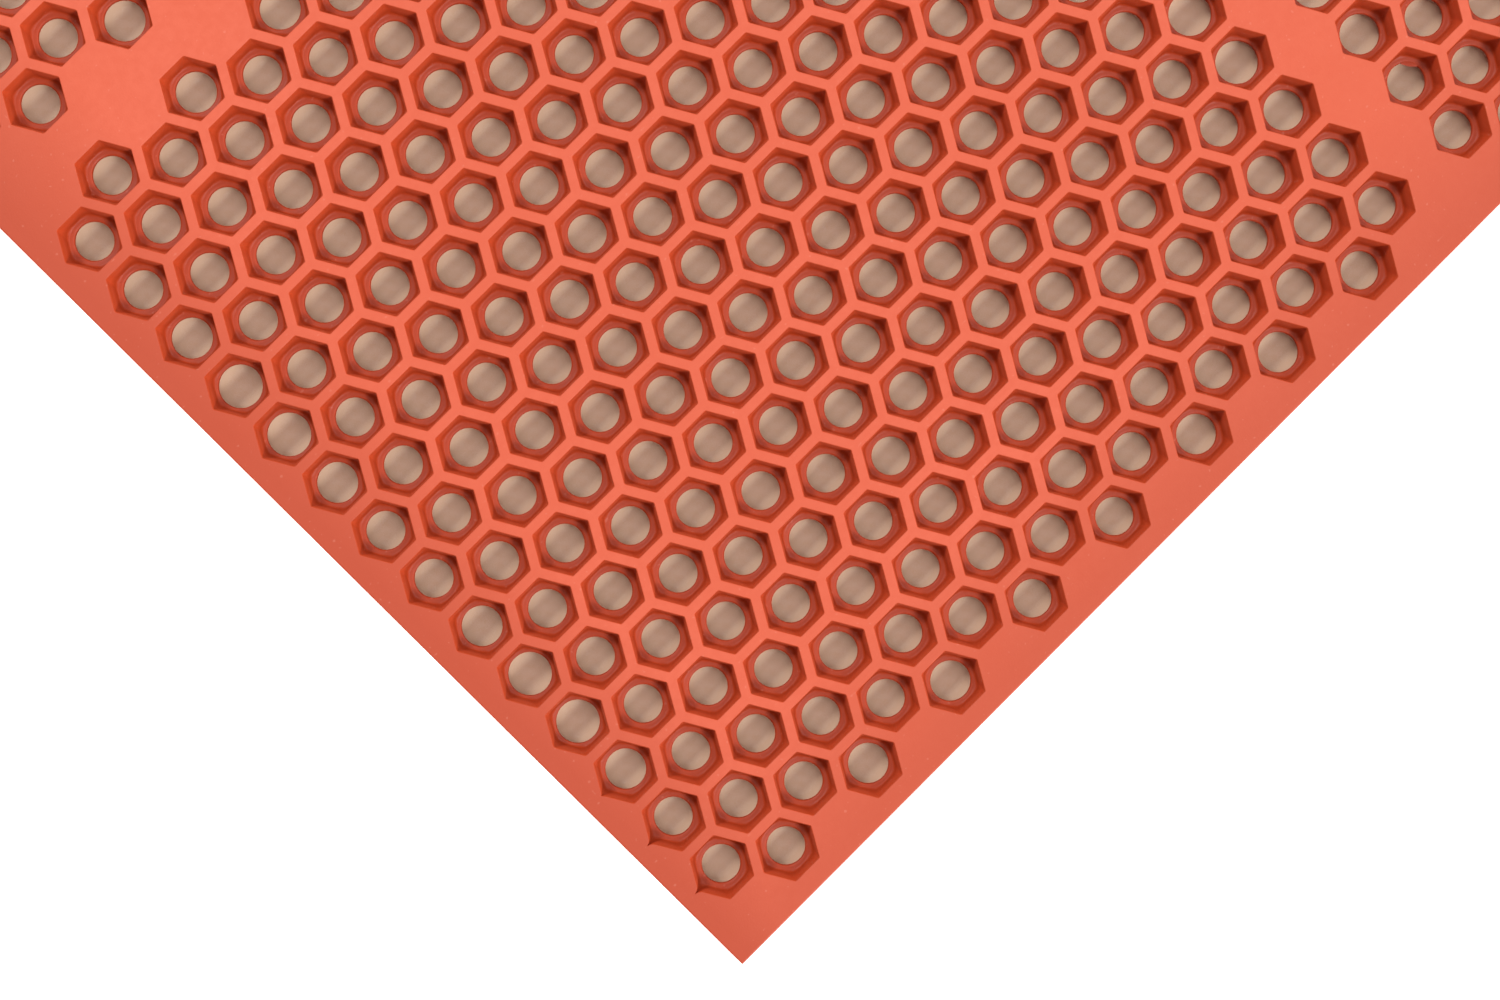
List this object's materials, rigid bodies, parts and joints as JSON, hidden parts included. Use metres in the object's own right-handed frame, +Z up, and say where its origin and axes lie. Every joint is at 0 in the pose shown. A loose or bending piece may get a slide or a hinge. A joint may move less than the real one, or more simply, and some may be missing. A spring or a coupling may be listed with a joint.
{
  "type": "anti fatigue mat",
  "caption": "Red rubber anti-fatigue drainage mat: a flat flexible sheet of hexagonal through cells in square panels, with smooth bands and a smooth border.",
  "frame": {"origin": "middle of the mat's underside, on the floor that it lies on", "axes": "+X along the mat's length (60 in side), +Y across its width (36 in side), +Z up through its thickness"},
  "size_m": [1.524, 0.9144, 0.0127],
  "materials": {
    "honeycomb_rubber": "matte",
    "band_rubber": "matte"
  },
  "bodies": {
    "module_row_1": {"honeycomb_panel_r1_c1": "honeycomb_rubber", "honeycomb_panel_r1_c2": "honeycomb_rubber", "honeycomb_panel_r1_c3": "honeycomb_rubber", "column_band_r1_c1": "band_rubber", "column_band_r1_c2": "band_rubber", "side_border_r1_right": "band_rubber", "side_border_r1_left": "band_rubber", "end_border_front": "band_rubber"},
    "module_row_2": {"honeycomb_panel_r2_c1": "honeycomb_rubber", "honeycomb_panel_r2_c2": "honeycomb_rubber", "honeycomb_panel_r2_c3": "honeycomb_rubber", "column_band_r2_c1": "band_rubber", "column_band_r2_c2": "band_rubber", "side_border_r2_right": "band_rubber", "side_border_r2_left": "band_rubber", "fold_band_1": "band_rubber"},
    "module_row_3": {"honeycomb_panel_r3_c1": "honeycomb_rubber", "honeycomb_panel_r3_c2": "honeycomb_rubber", "honeycomb_panel_r3_c3": "honeycomb_rubber", "column_band_r3_c1": "band_rubber", "column_band_r3_c2": "band_rubber", "side_border_r3_right": "band_rubber", "side_border_r3_left": "band_rubber", "fold_band_2": "band_rubber", "fold_band_3": "band_rubber"},
    "module_row_4": {"honeycomb_panel_r4_c1": "honeycomb_rubber", "honeycomb_panel_r4_c2": "honeycomb_rubber", "honeycomb_panel_r4_c3": "honeycomb_rubber", "column_band_r4_c1": "band_rubber", "column_band_r4_c2": "band_rubber", "side_border_r4_right": "band_rubber", "side_border_r4_left": "band_rubber", "fold_band_4": "band_rubber"},
    "module_row_5": {"honeycomb_panel_r5_c1": "honeycomb_rubber", "honeycomb_panel_r5_c2": "honeycomb_rubber", "honeycomb_panel_r5_c3": "honeycomb_rubber", "column_band_r5_c1": "band_rubber", "column_band_r5_c2": "band_rubber", "side_border_r5_right": "band_rubber", "side_border_r5_left": "band_rubber", "end_border_back": "band_rubber"}
  },
  "joints": [
    {"name": "fold_1", "type": "hinge", "parent": "module_row_2", "child": "module_row_1", "pos_m": [-0.4572, 0, 0.00635], "axis": [0, 1, 0], "range_deg": [-45, 65], "stiffness_Nm_per_rad": 1, "deforming": ["fold_band_1"]},
    {"name": "fold_2", "type": "hinge", "parent": "module_row_3", "child": "module_row_2", "pos_m": [-0.1524, 0, 0.00635], "axis": [0, 1, 0], "range_deg": [-45, 65], "stiffness_Nm_per_rad": 1, "deforming": ["fold_band_2"]},
    {"name": "fold_3", "type": "hinge", "parent": "module_row_3", "child": "module_row_4", "pos_m": [0.1524, 0, 0.00635], "axis": [0, -1, 0], "range_deg": [-45, 65], "stiffness_Nm_per_rad": 1, "deforming": ["fold_band_3"]},
    {"name": "fold_4", "type": "hinge", "parent": "module_row_4", "child": "module_row_5", "pos_m": [0.4572, 0, 0.00635], "axis": [0, -1, 0], "range_deg": [-45, 65], "stiffness_Nm_per_rad": 1, "deforming": ["fold_band_4"]}
  ]
}
